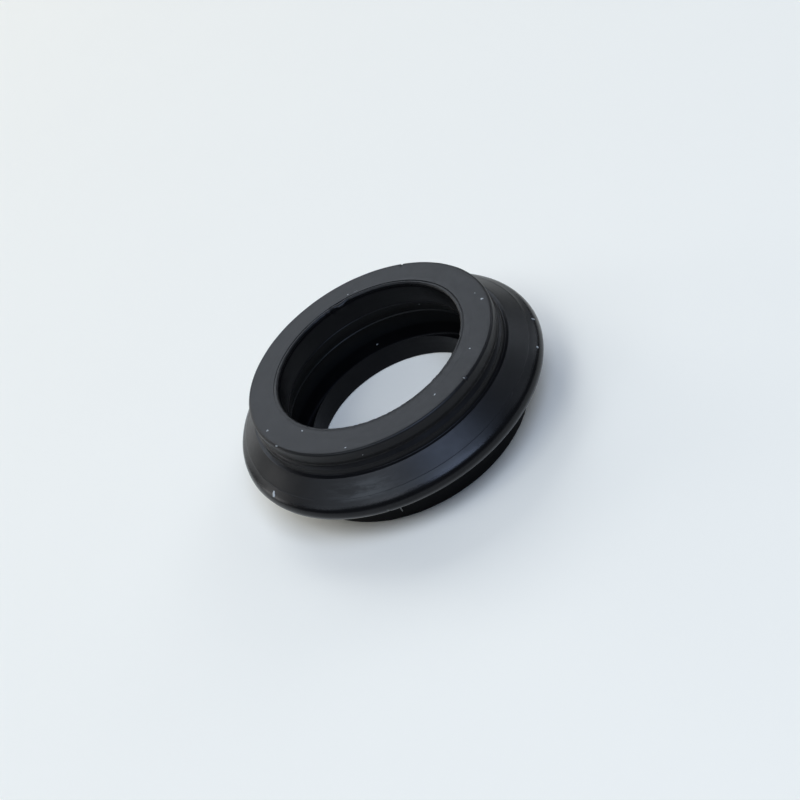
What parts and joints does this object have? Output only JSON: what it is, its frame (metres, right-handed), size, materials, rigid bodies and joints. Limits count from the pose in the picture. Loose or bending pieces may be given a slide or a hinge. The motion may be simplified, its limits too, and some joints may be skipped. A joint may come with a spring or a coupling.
{
  "type": "oil cooler pipe seal",
  "caption": "Moulded rubber ring seal: plain collars above and below a conical flange, with a relieved bore that grips a pipe.",
  "frame": {"origin": "middle of the lower end face, on the ring's axis", "axes": "+Z along the ring's axis, from the lower end face to the mouth of the bore"},
  "size_m": [0.04, 0.0398, 0.0124],
  "materials": {
    "black_rubber": "matte moulded rubber"
  },
  "bodies": {
    "root": {"seal_ring": "black_rubber"}
  },
  "joints": []
}
